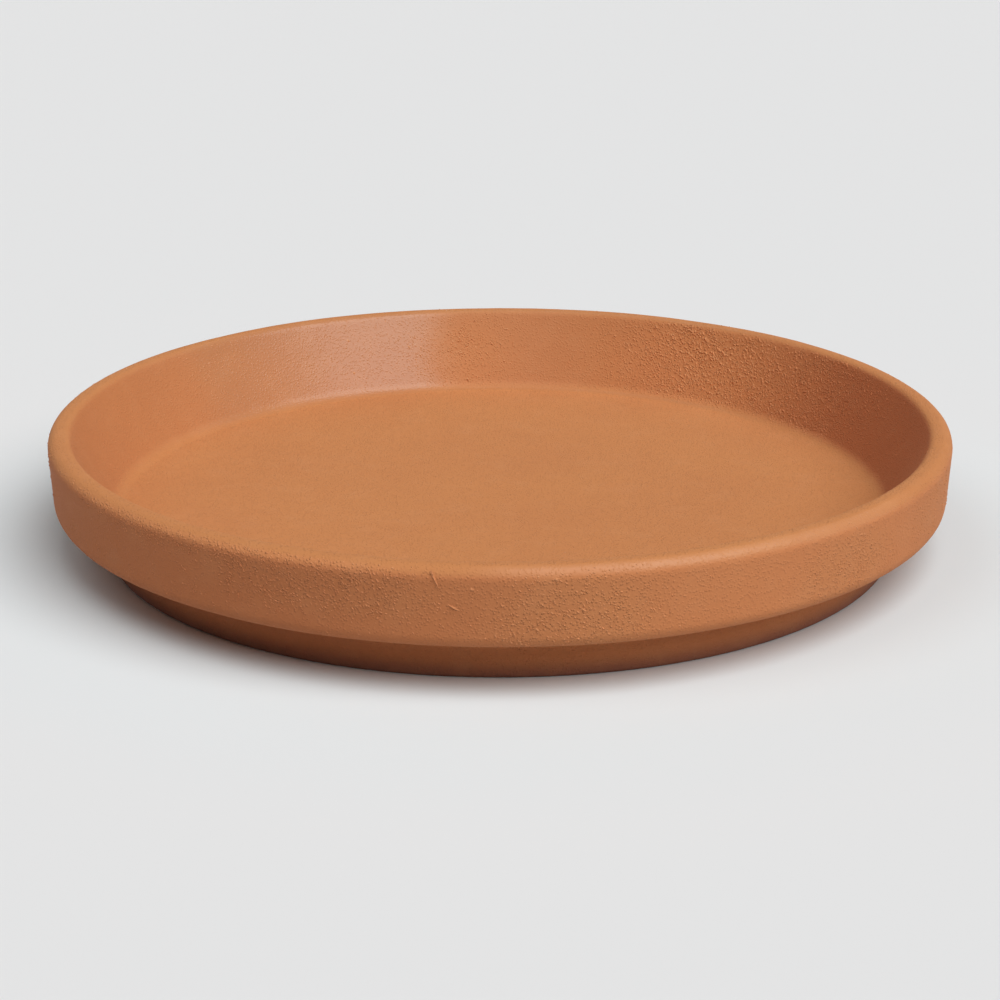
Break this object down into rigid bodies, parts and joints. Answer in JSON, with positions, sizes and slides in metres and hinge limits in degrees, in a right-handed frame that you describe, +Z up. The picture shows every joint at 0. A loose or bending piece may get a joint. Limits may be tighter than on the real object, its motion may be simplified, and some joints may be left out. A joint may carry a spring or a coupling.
{
  "type": "plant saucer",
  "caption": "Round terracotta plant saucer: a rounded lip on a broad flared band, stepped in to a narrower foot, with a flat inner floor that holds a pot and catches its water.",
  "frame": {"origin": "on the ground under the saucer's middle", "axes": "+Z up along the saucer's axis of revolution; X and Y are free, as the saucer is round"},
  "size_m": [0.3, 0.3, 0.0405],
  "materials": {
    "terracotta": "matte"
  },
  "bodies": {
    "root": {"saucer": "terracotta"}
  },
  "joints": []
}
